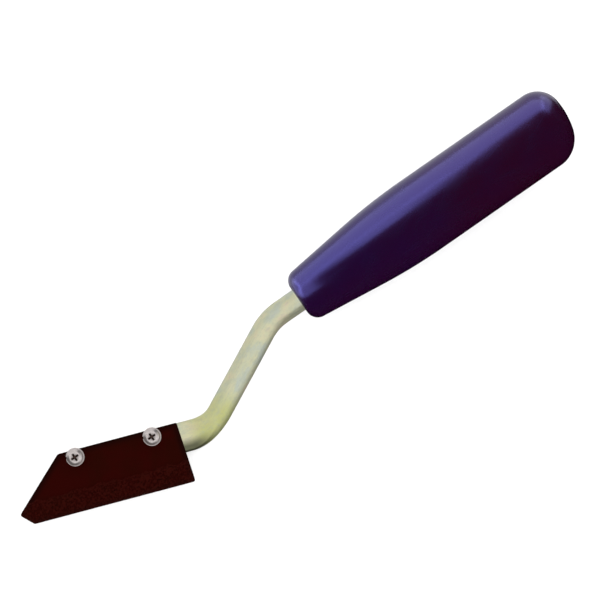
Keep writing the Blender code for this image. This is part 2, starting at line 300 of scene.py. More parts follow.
rod = {
    "radius": 0.004,
    "seat": 0.06,  # how deep it sits in the handle
    "tailChamfer": 0.0008,
    "grooves": 5,
    "grooveDepth": 0.0006,
    "grooveWidth": 0.002,
    "groovePitch": 0.006,
    "neck": 0.0074,
    "upperBend": 0.019,
    "drop": 0.0302,
    "lowerBend": 0.0164,
    "dropAngle": 26.6,
    "bladeAngle": 19.95,
    "flattening": 0.012,
    "tangWidth": 0.0102,
    "tangThickness": 0.0045,
    "tangLead": 0.0029,
    "tangLength": 0.0414,
    "tangRounding": 0.002,
    "tangTopStep": 0.0003,
    "tangCorner": 0.0012,
    "drillRadius": 0.0016,
    "drillReach": 0.003,
    "drillSides": 48,
    "countersink": 0.00025,
    "sides": 64,
    "step": 0.0007,
    "endSteps": 12,
    "smoothTo": 40,
}

rodRoute = [  # straight run, or bend radius and angle
    (rod["seat"] + rod["neck"], 0, 0),
    (0, rod["upperBend"], turned(rod["dropAngle"])),
    (rod["drop"], 0, 0),
    (0, rod["lowerBend"], -turned(rod["dropAngle"] + rod["bladeAngle"])),
    (rod["tangLength"] + 1, 0, 0),  # more than the tang needs
]


def followRod(distance):  # place and heading of the rod's middle that far from its tail
    place = Vector((rod["seat"], 0, 0))
    heading = math.pi
    for run, radius, angle in rodRoute:
        length = run or radius * abs(angle)
        share = min(distance / length, 1)
        if run:
            place += run * share * Vector((math.cos(heading), math.sin(heading), 0))
        else:
            side = math.copysign(radius, angle) * Vector((-math.sin(heading), math.cos(heading), 0))
            centre = place + side
            place = centre - Matrix.Rotation(angle * share, 3, "Z") @ side
            heading += angle * share
        distance -= length
        if distance <= 0:
            break
    return place, heading


rodBends = sum(run or radius * abs(angle) for run, radius, angle in rodRoute[:-1])
rodLength = rodBends + rod["tangLength"]

# sizes of the screws, which the two frames need as well

screw = {
    "length": 0.006,
    "coreRadius": 0.00122,
    "point": 0.0004,
    "threadRadius": 0.0015,
    "threadStart": 0.0003,
    "threadSink": 0.00005,
    "threadWidth": 0.44,  # half of the ridge, as a share of the pitch
    "threadCrest": 0.12,
    "threadSides": 32,
    "pitch": 0.0005,
    "headRadius": 0.0028,
    "headHeight": 0.0024,
    "headRounding": 0.0016,
    "headSteps": 18,
    "headEdge": 0.00012,
    "edgeSteps": 4,
    "recessReach": 0.0015,
    "recessArm": 0.0007,
    "recessDepth": 0.0014,
    "recessFoot": 0.5,
    "recessClear": 0.001,
    "recessTurn": 20,
    "edge": 0.00005,
    "inset": 0.0024,
    "rearPlace": 0.009,
    "spacing": 0.0264,
    "seatHeight": 0.00515,
    "sides": 96,
    "smoothTo": 40,
}

# the two frames: the blade's, from the joints, and the level one of the handle and rod

upward = Vector(joints["front_screw_travel"]["axis"]).normalized()
edgeward = Vector(joints["blade_change"]["axis"]).normalized()
tipward = edgeward.cross(upward)
bladeCorner = (
    Vector(joints["rear_screw_turn"]["pos_m"])
    - tipward * screw["rearPlace"]
    - edgeward * screw["inset"]
    - upward * screw["seatHeight"]
)
bladeFrame = Matrix((tipward, edgeward, upward)).transposed().to_4x4()
bladeFrame.translation = bladeCorner

tangPlace, tangHeading = followRod(rodBends)
tangTurn = Matrix.Rotation(tangHeading, 4, "Z")
tangCorner = tangTurn @ Vector((rod["tangLead"], -rod["tangWidth"] / 2 - rod["tangTopStep"], 0))
levelFrame = bladeFrame @ (Matrix.Translation(tangPlace + tangCorner) @ tangTurn).inverted()


def bendAlong(bm):  # a straight bar along X takes the rod's bends
    for vert in bm.verts:
        place, heading = followRod(vert.co.x)
        side = Vector((-math.sin(heading), math.cos(heading), 0))
        vert.co = place + side * vert.co.y + Vector((0, 0, vert.co.z))


def rodSection(length):  # half width, half thickness and corner radius
    flat = gentle(length, rodBends - rod["flattening"], rodBends)
    radius = rod["radius"] - max(rod["tailChamfer"] - length, 0)
    groove = length - rod["tailChamfer"]
    for index in range(rod["grooves"]):
        middle = (index + 1) * rod["groovePitch"] - rod["grooveWidth"] / 2
        inside = gentle(-abs(groove - middle), -rod["grooveWidth"] / 2, -rod["grooveWidth"] / 4)
        radius -= rod["grooveDepth"] * inside
    wide = radius + flat * (rod["tangWidth"] / 2 - radius)
    thick = radius + flat * (rod["tangThickness"] / 2 - radius)
    intoEnd = min(max(length - rodLength + rod["tangRounding"], 0) / rod["tangRounding"], 1)
    wide -= rod["tangRounding"] * (1 - math.sqrt(1 - intoEnd**2))
    return wide, thick, radius + flat * (rod["tangCorner"] - radius)


def buildRod():
    bm = bmesh.new()
    half = math.pi / rod["sides"]
    facing = Matrix.Rotation(math.pi / 2, 4, "Y") @ Matrix.Rotation(half, 4, "Z")
    bmesh.ops.create_circle(bm, cap_ends=True, radius=1, segments=rod["sides"], matrix=facing)
    edges = bm.edges[:]
    straight = bm.verts.layers.float_vector.new("straight")
    plain = rodLength - rod["tangRounding"]
    runs = math.ceil(plain / rod["step"])
    stops = [rod["tailChamfer"]]
    stops += [plain * place / runs for place in range(1, runs + 1)]
    for place in range(1, rod["endSteps"] + 1):
        stops.append(rodLength - rod["tangRounding"] * (1 - math.sin(turned(90 / rod["endSteps"] * place))))
    last = 0
    for stop in stops:
        grown = bmesh.ops.extrude_edge_only(bm, edges=edges)["geom"]
        edges = [item for item in grown if isinstance(item, bmesh.types.BMEdge)]
        verts = [item for item in grown if isinstance(item, bmesh.types.BMVert)]
        bmesh.ops.translate(bm, verts=verts, vec=(stop - last, 0, 0))
        last = stop
    bmesh.ops.contextual_create(bm, geom=edges)
    for vert in bm.verts:
        wide, thick, corner = rodSection(vert.co.x)
        vert.co.y = vert.co.y * corner + math.copysign(wide - corner, vert.co.y)
        vert.co.z = vert.co.z * corner + math.copysign(thick - corner, vert.co.z)
        vert[straight] = vert.co
    bendAlong(bm)
    return makeObject(bm, "bentRod", rod["smoothTo"])


def screwDrill(place):  # hole through the tang, countersunk at both faces
    bm = bmesh.new()
    radius, reach = rod["drillRadius"], rod["drillReach"]
    straight = rod["tangThickness"] / 2 - rod["countersink"]
    flare = reach - straight
    vert = bm.verts.new((0, -reach, 0))
    for x, y in ((radius + flare, -reach), (radius, -straight), (radius, straight), (radius + flare, reach)):
        vert = wireTo(bm, vert, x, y)
    wireTo(bm, vert, 0, reach)
    revolve(bm, (0, 1, 0), rod["drillSides"])
    rotateAll(bm, math.pi / 2, "X")
    bm.transform(levelFrame.inverted() @ bladeFrame @ Matrix.Translation((place, screw["inset"], 0)))
    return makeObject(bm, "drill")


def restorePattern(piece):  # the holes' new corners have no place along the bar yet
    alongTang = (Matrix.Translation(tangPlace) @ tangTurn).inverted()
    straight = piece.data.attributes["straight"].data
    for vert in piece.data.vertices:
        spot = alongTang @ vert.co
        if spot.x > 0:
            straight[vert.index].vector = spot + Vector((rodBends, 0, 0))


zincPatterns = {
    "drawn": {"size": 0.00018, "detail": 3, "rough": 0.6, "stretch": (0.02, 1, 1)},
    "streak": {"size": 0.0011, "detail": 3, "rough": 0.6, "stretch": (0.06, 1, 1)},
    "cloud": {"size": 0.0042, "detail": 4, "rough": 0.6, "stretch": (0.55, 1, 1)},
    "blotch": {"size": 0.0015, "detail": 2, "rough": 0.5, "stretch": (0.7, 1, 1)},
    "drift": {"size": 0.013, "detail": 2, "rough": 0.5},
    "speck": {"size": 0.00045, "detail": 3, "rough": 0.6, "stretch": (0.5, 1, 1)},
}

zincColours = {
    "film": [
        (0.38, (0.71, 0.77, 0.65, 1)),
        (0.46, (0.83, 0.84, 0.58, 1)),
        (0.52, (0.9, 0.86, 0.58, 1)),
        (0.6, (0.9, 0.77, 0.6, 1)),
    ],
    "olive": (0.7, 0.75, 0.25, 1),
    "greyGreen": (0.6, 0.66, 0.5, 1),
    "streak": (0.55, 0.55, 0.48, 1),
    "speck": (0.55, 0.54, 0.47, 1),
    # painted shade for the bar's low side near the blade
    "lowSideShade": (0.15, 0.155, 0.09, 1),
}


def plating():  # passivated zinc over drawn bar: cream, with faint rose, green and grey clouds
    material, tree, shader = newFinish("zincPlating", Metallic=0.9)
    along = addNode(tree, "ShaderNodeAttribute", {"attribute_name": "straight"}, {}, "Vector")
    length, across, _ = split(tree, along)
    drawn, streak, cloud, blotch, drift, speck = noisesOf(tree, along, zincPatterns)
    tint = drift * 0.55 + cloud * 0.45
    film = addNode(tree, "ShaderNodeValToRGB", {"stops": zincColours["film"]}, {"Fac": tint})
    intoBend = length.ramp(rodBends - 0.024, rodBends - 0.012)
    bend = intoBend * (1 - length.ramp(rodBends - 0.006, rodBends + 0.003))
    outside = 0.65 + 0.35 * across.ramp(-0.003, 0.002)
    film = blendColours(tree, bend * outside * (0.5 + 0.7 * cloud), film, zincColours["olive"])
    film = blendColours(tree, blotch.ramp(0.5, 0.68) * 0.28, film, zincColours["greyGreen"])
    film = blendColours(tree, streak.ramp(0.45, 0.75) * 0.14, film, zincColours["streak"])
    film = blendColours(tree, speck.ramp(0.48, 0.75) * 0.3, film, zincColours["speck"])
    # painted shade: the bar's low side darkens over the last few millimetres before the blade
    lowSideShade = length.ramp(rodBends - 0.009, rodBends - 0.001) * across.ramp(0.0, 0.0034)
    film = blendColours(tree, lowSideShade * (0.75 + 0.4 * cloud), film, zincColours["lowSideShade"])
    rough = 0.2 + 0.14 * cloud + 0.1 * drawn
    feed(tree, shader, Base_Color=film, Roughness=rough, Normal=raised(tree, drawn, 0.00002, 0.5))
    return material


print("rod", round(rodLength * 1000, 1), "mm long")
screwPlaces = {"rear": screw["rearPlace"], "front": screw["rearPlace"] + screw["spacing"]}
bentRod = buildRod()
cutAway(bentRod, [screwDrill(place) for place in screwPlaces.values()])
restorePattern(bentRod)
fit(bentRod, levelFrame, "tool", "shank", plating())

# handle: one turned-looking moulding with a slanted, domed butt

handle = {
    "length": 0.1086,
    "barrelRadius": 0.01316,
    "barrelRings": 24,
    "noseRadius": 0.0087,
    "noseRounding": 0.0042,
    "noseSteps": 24,
    "taperLength": 0.0378,
    "taperRings": 8,
    "taperBlend": 0.2,
    "blendSteps": 24,
    "crownRadius": 0.028,
    "crownSteps": 8,
    "buttRounding": 0.0095,
    "buttSteps": 28,
    "buttSlant": 0.0024,
    "boreRadius": 0.00403,
    "boreLip": 0.0003,
    "boreDepth": 0.0603,
    "lipSteps": 5,
    "sides": 160,
    "smoothTo": 50,
}


def slantButt(bm):  # one side of the butt stands further out
    start = handle["length"] - 3 * handle["buttRounding"]
    end = handle["length"] - handle["buttRounding"]
    for vert in bm.verts:
        lean = handle["buttSlant"] * vert.co.y / (2 * handle["barrelRadius"])
        vert.co.x += gentle(vert.co.x, start, end) * lean


def buildHandle():
    bm = bmesh.new()
    slope = math.atan((handle["barrelRadius"] - handle["noseRadius"]) / handle["taperLength"])
    bore = handle["boreRadius"]
    lip = handle["boreLip"]
    nose = handle["noseRounding"]
    noseTurn = math.pi / 2 - slope
    noseRun = nose * math.tan(noseTurn / 2)
    blendRun = handle["taperBlend"] * math.tan(slope / 2)
    inner = handle["barrelRadius"] - handle["buttRounding"]
    crown = handle["length"] - handle["crownRadius"]
    reach = handle["crownRadius"] - handle["buttRounding"]
    meeting = math.asin(inner / reach)
    shoulder = crown + reach * math.cos(meeting)
    vert = bm.verts.new((handle["boreDepth"], 0, 0))
    vert = wireTo(bm, vert, handle["boreDepth"], bore)
    vert = wireTo(bm, vert, lip, bore)
    vert = wireRound(bm, vert, lip, bore + lip, -math.pi / 2, handle["lipSteps"])
    vert = wireTo(bm, vert, 0, handle["noseRadius"] - noseRun)
    vert = wireRound(bm, vert, nose, handle["noseRadius"] - noseRun, -noseTurn, handle["noseSteps"])
    startX = handle["taperLength"] - blendRun * math.cos(slope)
    startY = handle["barrelRadius"] - blendRun * math.sin(slope)
    for place in range(1, handle["taperRings"] + 1):  # rings along the taper keep its shading even
        share = place / handle["taperRings"]
        ringX = vert.co.x + (startX - vert.co.x) * share
        ringY = vert.co.y + (startY - vert.co.y) * share
        vert = wireTo(bm, vert, ringX, ringY)
    centreX = startX + handle["taperBlend"] * math.sin(slope)
    centreY = startY - handle["taperBlend"] * math.cos(slope)
    vert = wireRound(bm, vert, centreX, centreY, -slope, handle["blendSteps"])
    barrelX = vert.co.x
    for place in range(1, handle["barrelRings"] + 1):
        ringX = barrelX + (shoulder - barrelX) * place / handle["barrelRings"]
        vert = wireTo(bm, vert, ringX, handle["barrelRadius"])
    vert = wireRound(bm, vert, shoulder, inner, meeting - math.pi / 2, handle["buttSteps"])
    vert = wireRound(bm, vert, crown, 0, -meeting, handle["crownSteps"])
    vert.co.y = 0
    revolve(bm, (1, 0, 0), handle["sides"])
    slantButt(bm)
    return makeObject(bm, "grip", handle["smoothTo"])


plasticPatterns = {
    "cloud": {"size": 0.02, "detail": 3, "rough": 0.55},
    "smudge": {"size": 0.006, "detail": 4, "rough": 0.62, "lean": 0.8, "stretch": (0.45, 1, 1)},
    "pores": {"size": 0.0004, "detail": 3, "rough": 0.55},
    "swell": {"size": 0.0045, "detail": 2, "rough": 0.45, "stretch": (0.6, 1, 1)},
    "scuff": {"size": 0.0005, "detail": 3, "rough": 0.7, "lean": 0.6, "stretch": (1, 0.12, 0.12)},
}

plasticColours = {
    "violet": (0.018, 0.0001, 0.031, 1),
    "plum": (0.031, 0.0001, 0.0075, 1),
    "sheen": (0.26, 0.275, 1.0, 1),
}


def gripPlastic():  # dark violet moulding, glossy, with a violet sheen in the light
    material, tree, shader = newFinish(
        "violetPlastic",
        IOR=1.6,
        Specular_IOR_Level=1.0,
        Specular_Tint=plasticColours["sheen"],
    )
    here = objectPlace(tree, levelFrame)
    along, _, up = split(tree, here)
    cloud, smudge, pores, swell, scuff = noisesOf(tree, here, plasticPatterns)
    seam = 1 - abs(up).ramp(0.00008, 0.00022)
    toButt = along.ramp(0.03, 0.09) * 0.7 + 0.3 * cloud.ramp(0.3, 0.7)
    body = blendColours(tree, toButt, plasticColours["violet"], plasticColours["plum"])
    worn = scuff.ramp(0.64, 0.76) * smudge.ramp(0.4, 0.65)
    rough = 0.22 + 0.07 * smudge.ramp(0.35, 0.75) + 0.03 * pores + 0.12 * worn
    skin = raised(tree, pores + 0.5 * worn, 0.00002, 0.35, raised(tree, swell, 0.00006, 0.5))
    feed(tree, shader, Base_Color=body, Roughness=rough, Normal=raised(tree, seam, 0.00004, 1.0, skin))
    return material


print("handle")
grip = buildHandle()
fit(grip, levelFrame, "tool", "handle", gripPlastic())

# blade: a stamped plate with open slots, in its own frame

plate = {
    "topLength": 0.0409,
    "height": 0.0206,
    "thickness": 0.0012,
    "back": 0.00255,
    "rearRake": 0.0012,
    "tipReach": 0.0174,
    "tipDrop": 0.0166,
    "tipChamfer": 0.0041,
    "tipRounding": 0.0008,
    "topRounding": 0.0005,
    "roundingSteps": 6,
    "blank": 0.08,
    "slotRadius": 0.0018,
    "slotReach": 0.006,
    "slotLow": 0.001,
    "slotTall": 0.004,
    "slotSides": 64,
    "edge": 0.00014,
    "underGrit": 0.0005,
    "smoothTo": 30,
}

bladeOutline = [
    Vector((0, 0, 0)),
    Vector((plate["topLength"], 0, 0)),
    Vector((plate["topLength"] + plate["tipReach"], plate["tipDrop"], 0)),
    Vector((plate["topLength"] + plate["tipReach"] - plate["tipChamfer"], plate["height"], 0)),
    Vector((-plate["rearRake"], plate["height"], 0)),
]


def trimTo(bm, outline, insets):  # keep what lies inside the outline, each side moved in
    for index, inset in enumerate(insets):
        start = outline[index]
        run = outline[(index + 1) % len(outline)] - start
        outward = Vector((run.y, -run.x, 0)).normalized()
        cutOff(bm, start - outward * inset, outward)


def slotCutter(place):  # round bottom, open to the top edge
    bm = bmesh.new()
    radius = plate["slotRadius"]
    bmesh.ops.create_circle(bm, cap_ends=True, radius=radius, segments=plate["slotSides"])
    for vert in bm.verts:
        if vert.co.y < -radius * 0.02:  # the half nearer the top edge
            vert.co.x = math.copysign(radius, vert.co.x)
            vert.co.y = -plate["slotReach"]
    bmesh.ops.remove_doubles(bm, verts=bm.verts, dist=tolerance["merge"])
    thicken(bm, plate["slotTall"])
    bmesh.ops.translate(bm, verts=bm.verts, vec=(place, screw["inset"], plate["slotLow"]))
    return makeObject(bm, "slotCutter")


def buildPlate():
    bm = bmesh.new()
    bmesh.ops.create_grid(bm, x_segments=1, y_segments=1, size=plate["blank"])
    under = plate["underGrit"]
    trimTo(bm, bladeOutline, [0, 0, under, under, 0])
    corners = sorted(bm.verts, key=lambda vert: vert.co.y)
    for group, rounding in ((corners[:2], "topRounding"), (corners[2:], "tipRounding")):
        bmesh.ops.bevel(
            bm,
            geom=group,
            offset=plate[rounding],
            segments=plate["roundingSteps"],
            profile=0.5,
            affect="VERTICES",
            material=-1,
        )
    thicken(bm, plate["thickness"])
    bmesh.ops.translate(bm, verts=bm.verts, vec=(0, 0, plate["back"]))
    return makeObject(bm, "bladePlate", plate["smoothTo"])


def outlineDistance(tree, here, outline):  # how far inside the outline a point is
    across, down, _ = split(tree, here)
    nearest = None
    for index, start in enumerate(outline):
        run = outline[(index + 1) % len(outline)] - start
        inward = Vector((-run.y, run.x)).normalized()
        gap = across * inward.x + down * inward.y - inward.dot(start.to_2d())
        nearest = nearest.least(gap) if nearest else gap
    return nearest


darkSheen = {"Specular_IOR_Level": 0.05, "Specular_Tint": (1, 0.45, 0.35, 1)}

paintPatterns = {
    "cloud": {"size": 0.009, "detail": 4, "rough": 0.6},
    "speck": {"size": 0.0006, "detail": 3, "rough": 0.6},
    "scratch": {"size": 0.00035, "detail": 3, "rough": 0.7, "lean": 0.4, "stretch": (0.05, 1, 1)},
}

paintColours = {
    "maroon": (0.025, 0.0006, 0.0002, 1),
    "brown": (0.02, 0.0012, 0.0001, 1),
    "rim": (0.008, 0.0014, 0.001, 1),
    "scratch": (0.05, 0.007, 0.005, 1),
}


def bladePaint():  # dark maroon coat, darker along the rim and lightly scratched
    material, tree, shader = newFinish("maroonCoat", **darkSheen)
    here = objectPlace(tree, bladeFrame)
    cloud, speck, scratch = noisesOf(tree, here, paintPatterns)
    rim = 1 - outlineDistance(tree, here, bladeOutline).ramp(0.0002, 0.0028)
    coat = blendColours(tree, cloud.ramp(0.35, 0.68), paintColours["maroon"], paintColours["brown"])
    coat = blendColours(tree, rim * 0.8, coat, paintColours["rim"])
    coat = blendColours(tree, scratch.ramp(0.66, 0.78) * 0.35, coat, paintColours["scratch"])
    rough = 0.42 + 0.16 * cloud + 0.1 * speck
    bumps = raised(tree, speck + scratch * 0.6, 0.00002, 0.5)
    feed(tree, shader, Base_Color=coat, Roughness=rough, Normal=bumps)
    return material


print("blade")
bladePlate = buildPlate()
cutAway(bladePlate, [slotCutter(place) for place in screwPlaces.values()])
easeEdges(bladePlate, plate["edge"])
fit(bladePlate, bladeFrame, "blade", "blade", bladePaint())

# carbide grit: a coat brazed over both faces and round the working edge

grit = {
    "height": 0.009,
    "coat": 0.00075,  # from the plate's face to the tallest grains
    "bed": 0.00038,  # the braze between the grains
    "sink": 0.00015,  # the coat's bare margin lies this far under the plate's face
    "cell": 0.0002,
    "margin": 0.002,  # how far the raw sheet stands past the blade
    "inset": 0.00003,
    "weld": 0.00002,
    "grainSize": 0.0007,
    "grainLeast": 0.75,
    "grainSpread": 0.5,
    "grainSeed": 7,
    "grainTop": 0.12,
    "grainFoot": 0.62,
    "pit": 0.0002,  # how far the rim dips between grains
    "start": 0.001,  # bare strip along the coat's top
    "feather": 0.0022,
    "raggedness": 0.0007,
    "raggedWaves": (380, 1300),
    "raggedFine": 0.7,  # share of the finer wave
    "arris": 0.0006,
    "wallCuts": 8,
    "cornerCuts": 5,
    "smoothTo": 75,
}


def grainAt(spot):  # 0 between grains to 1 on top of one
    nearest, centres = noise.voronoi(spot / grit["grainSize"])
    size = grit["grainLeast"] + grit["grainSpread"] * noise.cell(centres[0] * grit["grainSeed"])
    return 1 - gentle(nearest[0] * size, grit["grainTop"], grit["grainFoot"])


def roundCorner(bm, corner, before, after, radius):  # planes that touch the corner's arc
    inward = ((before - corner).normalized() + (after - corner).normalized()).normalized()
    half = inward.angle((after - corner).normalized())
    centre = corner + inward * radius / math.sin(half)
    for place in range(grit["cornerCuts"]):
        turn = (math.pi - 2 * half) * ((place + 0.5) / grit["cornerCuts"] - 0.5)
        outward = Matrix.Rotation(turn, 3, "Z") @ -inward
        cutOff(bm, centre + outward * radius, outward)


def gritSheet(bandTop):  # flat sheet of small squares in the shape of the coated band
    bm = bmesh.new()
    cell, margin = grit["cell"], grit["margin"]
    columns = math.ceil((plate["topLength"] + plate["tipReach"] + 2 * margin) / cell)
    rows = math.ceil((grit["height"] + margin / 2) / cell)
    bmesh.ops.create_grid(bm, x_segments=columns, y_segments=rows, size=0.5)
    bmesh.ops.scale(bm, verts=bm.verts, vec=(columns * cell, rows * cell, 1))
    spot = (columns * cell / 2 - margin, plate["height"] - grit["height"] / 2, 0)
    bmesh.ops.translate(bm, verts=bm.verts, vec=spot)
    trimTo(bm, bladeOutline, [grit["inset"]] * len(bladeOutline))
    for index in (2, 3, 4):  # the corners that the grit goes round
        before, after = bladeOutline[index - 1], bladeOutline[(index + 1) % len(bladeOutline)]
        roundCorner(bm, bladeOutline[index], before, after, plate["tipRounding"])
    cutOff(bm, (0, bandTop, 0), (0, -1, 0))
    bmesh.ops.remove_doubles(bm, verts=bm.verts, dist=grit["weld"])
    return bm


def buildGrit():
    bandTop = plate["height"] - grit["height"]
    bm = gritSheet(bandTop)
    thick = plate["thickness"] + 2 * grit["coat"]
    low = plate["back"] - grit["coat"]
    middle = low + thick / 2
    bmesh.ops.translate(bm, verts=bm.verts, vec=(0, 0, low))
    height = bm.verts.layers.float.new("grain")
    lifted = set(thicken(bm, thick))
    walls = [edge for edge in bm.edges if (edge.verts[0] in lifted) != (edge.verts[1] in lifted)]
    bmesh.ops.subdivide_edges(bm, edges=walls, cuts=grit["wallCuts"], use_grid_fill=True)
    faceOutwards(bm)
    bm.normal_update()
    rim = {vert for face in bm.faces if abs(face.normal.z) < 0.5 for vert in face.verts}
    outward = {vert: Vector((vert.normal.x, vert.normal.y, 0)).normalized() for vert in rim}
    coarse, fine = grit["raggedWaves"]
    for vert in bm.verts:
        side = vert.co.z - middle
        across = min(abs(side) / (thick / 2), 1)
        grain = grainAt(vert.co)
        wobble = noise.noise(vert.co * coarse) + grit["raggedFine"] * noise.noise(vert.co * fine)
        start = bandTop + grit["start"] + grit["raggedness"] * wobble
        cover = gentle(vert.co.y, start, start + grit["feather"])
        vert[height] = 0.5 + (grain - 0.5) * cover
        if vert in outward:
            easing = grit["arris"] * (1 - math.sqrt(1 - across**2))
            vert.co -= outward[vert] * (easing + (1 - grain) * grit["pit"])
        proud = grit["bed"] * cover + (grit["coat"] - grit["bed"]) * grain * gentle(cover, 0.05, 0.45)
        proud -= grit["sink"] * (1 - gentle(cover, 0.02, 0.3))
        vert.co.z = middle + side / (thick / 2) * (plate["thickness"] / 2 + proud)
    return makeObject(bm, "gritCoat", grit["smoothTo"])


gritPatterns = {
    "cloud": {"size": 0.007, "detail": 3, "rough": 0.6},
    "speck": {"size": 0.00025, "detail": 3, "rough": 0.65},
}

gritColours = {
    "maroon": (0.027, 0.0009, 0.0004, 1),
    "brown": (0.023, 0.0014, 0.0003, 1),
    # colour of the brazed filler, darkened to stand for painted shade in the hollows
    "grain": (0.034, 0.0035, 0.0024, 1),
    "brazeAndShade": (0.008, 0.0008, 0.0004, 1),
    # painted glint colour
    "speck": (0.05, 0.012, 0.009, 1),
    "rim": (0.014, 0.003, 0.0024, 1),
}


def gritFinish():  # dark maroon braze with carbide grains worn brighter on top
    material, tree, shader = newFinish("carbideGrit", **darkSheen)
    here = objectPlace(tree, bladeFrame)
    grain = addNode(tree, "ShaderNodeAttribute", {"attribute_name": "grain"}, {}, "Fac")
    cloud, speck = noisesOf(tree, here, gritPatterns)
    rim = 1 - outlineDistance(tree, here, bladeOutline).ramp(0.0002, 0.0024)
    coat = blendColours(tree, cloud.ramp(0.35, 0.68), gritColours["maroon"], gritColours["brown"])
    coat = blendColours(tree, grain.ramp(0.15, 0.9) * 0.5, coat, gritColours["grain"])
    # the brazed filler between the grains, painted darker as shade in the hollows
    coat = blendColours(tree, (1 - grain.ramp(0.0, 0.3)) * 0.35, coat, gritColours["brazeAndShade"])
    # painted glints: scattered lighter specks stand in for sparkle on the grains
    coat = blendColours(tree, speck.ramp(0.6, 0.75) * 0.3, coat, gritColours["speck"])
    coat = blendColours(tree, rim * 0.5, coat, gritColours["rim"])
    rough = 0.62 - 0.22 * grain + 0.1 * speck
    feed(tree, shader, Base_Color=coat, Roughness=rough, Normal=raised(tree, speck, 0.00005, 0.6))
    return material


print("grit")
gritCoat = buildGrit()
fit(gritCoat, bladeFrame, "blade", "carbide_grit", gritFinish())

# screws: pan heads with a cross recess and a real thread


def recessWing(turn):  # one tapered arm of the cross, both ways
    bm = bmesh.new()
    bmesh.ops.create_cube(bm, size=1)
    clear = screw["recessClear"]
    foot = screw["headHeight"] - screw["recessDepth"]
    for vert in bm.verts:
        narrow = screw["recessFoot"] if vert.co.z < 0 else 1 + clear / screw["recessDepth"] * 0.5
        vert.co.x *= 2 * screw["recessReach"] * narrow
        vert.co.y *= screw["recessArm"] * (0.5 + narrow / 2)
        vert.co.z = foot + (screw["recessDepth"] + clear if vert.co.z > 0 else 0)
    rotateAll(bm, turned(turn), "Z")
    return makeObject(bm, "recessWing")


def windThread(bm):  # a ridge swept up the stem
    core, crest = screw["coreRadius"] - screw["threadSink"], screw["threadRadius"]
    half = screw["pitch"] * screw["threadWidth"]
    top = screw["threadCrest"]
    section = [
        bm.verts.new((core, 0, 0)),
        bm.verts.new((crest, 0, half * (1 - top))),
        bm.verts.new((crest, 0, half * (1 + top))),
        bm.verts.new((core, 0, half * 2)),
    ]
    for vert in section:
        vert.co.z += screw["threadStart"] - screw["length"]
    ridge = bm.faces.new(section)
    turns = math.floor((screw["length"] - 2 * screw["point"]) / screw["pitch"])
    bmesh.ops.spin(
        bm,
        geom=[ridge],
        cent=(0, 0, 0),
        axis=(0, 0, 1),
        dvec=(0, 0, screw["pitch"] / screw["threadSides"]),
        angle=math.tau * turns,
        steps=screw["threadSides"] * turns,
    )


def buildScrew(name):
    bm = bmesh.new()
    top = screw["headHeight"]
    flat = screw["headRadius"] - screw["headRounding"]
    edge = screw["headEdge"]
    core = screw["coreRadius"]
    point = screw["point"]
    vert = bm.verts.new((0, top, 0))
    vert = wireTo(bm, vert, flat * 0.5, top)
    vert = wireTo(bm, vert, flat, top)
    vert = wireRound(bm, vert, flat, top - screw["headRounding"], -math.pi / 2, screw["headSteps"])
    vert = wireTo(bm, vert, screw["headRadius"], edge)
    vert = wireRound(bm, vert, screw["headRadius"] - edge, edge, -math.pi / 2, screw["edgeSteps"])
    vert = wireTo(bm, vert, core, 0)
    vert = wireTo(bm, vert, core, point - screw["length"])
    vert = wireTo(bm, vert, core - point, -screw["length"])
    wireTo(bm, vert, 0, -screw["length"])
    revolve(bm, (0, 1, 0), screw["sides"])
    rotateAll(bm, math.pi / 2, "X")
    blank = makeObject(bm, "screwBlank")
    cutAway(blank, [recessWing(screw["recessTurn"] + quarter) for quarter in (0, 90)])
    easeEdges(blank, screw["edge"], 1, 50)
    bm = bmesh.new()
    bm.from_mesh(blank.data)
    bpy.data.objects.remove(blank)
    bmesh.ops.dissolve_degenerate(bm, edges=bm.edges, dist=tolerance["sliver"])
    windThread(bm)
    return makeObject(bm, name, screw["smoothTo"])


steelPatterns = {"cloud": {"size": 0.0016, "detail": 3, "rough": 0.6}}

steelColours = {
    "bright": (0.86, 0.79, 0.77, 1),
    "dull": (0.72, 0.65, 0.63, 1),
    # painted shade for the cross recess and the middle of the head
    "recessShade": (0.1, 0.06, 0.05, 1),
}


def brightSteel(name, place, height):  # turned and plated, with rings from the lathe
    material, tree, shader = newFinish(name, Metallic=0.9)
    here = objectPlace(tree, bladeFrame @ Matrix.Translation((place, screw["inset"], height)))
    across, down, above = split(tree, here)
    radius = (across * across + down * down) ** 0.5
    spacing = {"W": radius, "Scale": 9000.0, "Detail": 2.0}
    rings = addNode(tree, "ShaderNodeTexNoise", {"noise_dimensions": "1D"}, spacing)
    cloud = noiseOf(tree, here, **steelPatterns["cloud"])
    metal = blendColours(tree, cloud.ramp(0.35, 0.75), steelColours["bright"], steelColours["dull"])
    # painted shade: darker down in the cross recess, over the middle of the head and at a washer's bore
    sunk = 1 - above.ramp(screw["headHeight"] - 0.0006, screw["headHeight"] - 0.0001)
    recessShade = sunk * (1 - radius.ramp(0.0013, 0.0017)) + 0.45 * (1 - radius.ramp(0.0009, 0.0017))
    metal = blendColours(tree, recessShade, metal, steelColours["recessShade"])
    rough = 0.2 + 0.1 * rings + 0.08 * cloud
    feed(tree, shader, Base_Color=metal, Roughness=rough, Normal=raised(tree, rings, 0.000008, 0.5))
    return material


washer = {
    "innerRadius": 0.0016,
    "outerRadius": 0.0031,
    "thickness": 0.0008,
    "slit": 0.0006,
    "spring": 0.0003,  # how far the split ends stand apart
    "height": 0.00405,
    "edge": 0.00009,
    "sides": 72,
    "smoothTo": 40,
}


